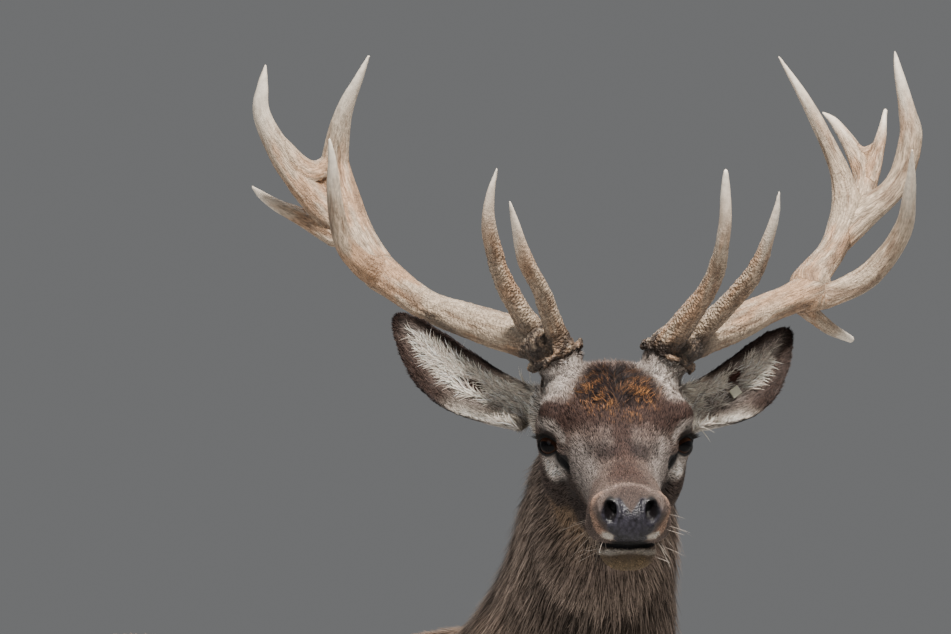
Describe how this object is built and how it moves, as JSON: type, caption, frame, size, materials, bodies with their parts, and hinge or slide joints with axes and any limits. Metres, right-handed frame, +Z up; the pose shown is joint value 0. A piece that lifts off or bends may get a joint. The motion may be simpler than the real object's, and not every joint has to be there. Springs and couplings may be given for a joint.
{
  "type": "deer",
  "caption": "Life-size standing red deer stag with branched antlers, its head turned to one side, as a still display model.",
  "frame": {"origin": "on the floor, under the middle of the whole animal's bounding box", "axes": "+Z up, -Y ahead of the trunk, +X towards the stag's left side; the head looks 31 degrees to the stag's right"},
  "size_m": [0.6538, 1.753, 1.9155],
  "materials": {
    "coat": "hairy",
    "antler": "rough bone with smooth pale tips",
    "eye": "wet gloss",
    "hoof": "satin horn",
    "tag": "satin"
  },
  "bodies": {
    "root": {"antler_left_bez": "antler", "antler_left_brow": "antler", "antler_left_crown_inner": "antler", "antler_left_crown_outer": "antler", "antler_left_crown_rear_inner": "antler", "antler_left_crown_rear_outer": "antler", "antler_left_lower_beam": "antler", "antler_left_snag": "antler", "antler_left_trez": "antler", "antler_left_upper_beam": "antler", "antler_right_bez": "antler", "antler_right_brow": "antler", "antler_right_crown_inner": "antler", "antler_right_crown_outer": "antler", "antler_right_crown_rear": "antler", "antler_right_lower_beam": "antler", "antler_right_trez": "antler", "antler_right_upper_beam": "antler", "dewclaw_fore_left_inner": "hoof", "dewclaw_fore_left_outer": "hoof", "dewclaw_fore_right_inner": "hoof", "dewclaw_fore_right_outer": "hoof", "dewclaw_hind_left_inner": "hoof", "dewclaw_hind_left_outer": "hoof", "dewclaw_hind_right_inner": "hoof", "dewclaw_hind_right_outer": "hoof", "ear_left": "coat", "ear_right": "coat", "ear_tag": "tag", "eye_left": "eye", "eye_right": "eye", "head": "coat", "hoof_fore_left_inner": "hoof", "hoof_fore_left_outer": "hoof", "hoof_fore_right_inner": "hoof", "hoof_fore_right_outer": "hoof", "hoof_hind_left_inner": "hoof", "hoof_hind_left_outer": "hoof", "hoof_hind_right_inner": "hoof", "hoof_hind_right_outer": "hoof", "leg_fore_left": "coat", "leg_fore_right": "coat", "leg_hind_left": "coat", "leg_hind_right": "coat", "neck": "coat", "tail": "coat", "trunk": "coat"}
  },
  "joints": []
}
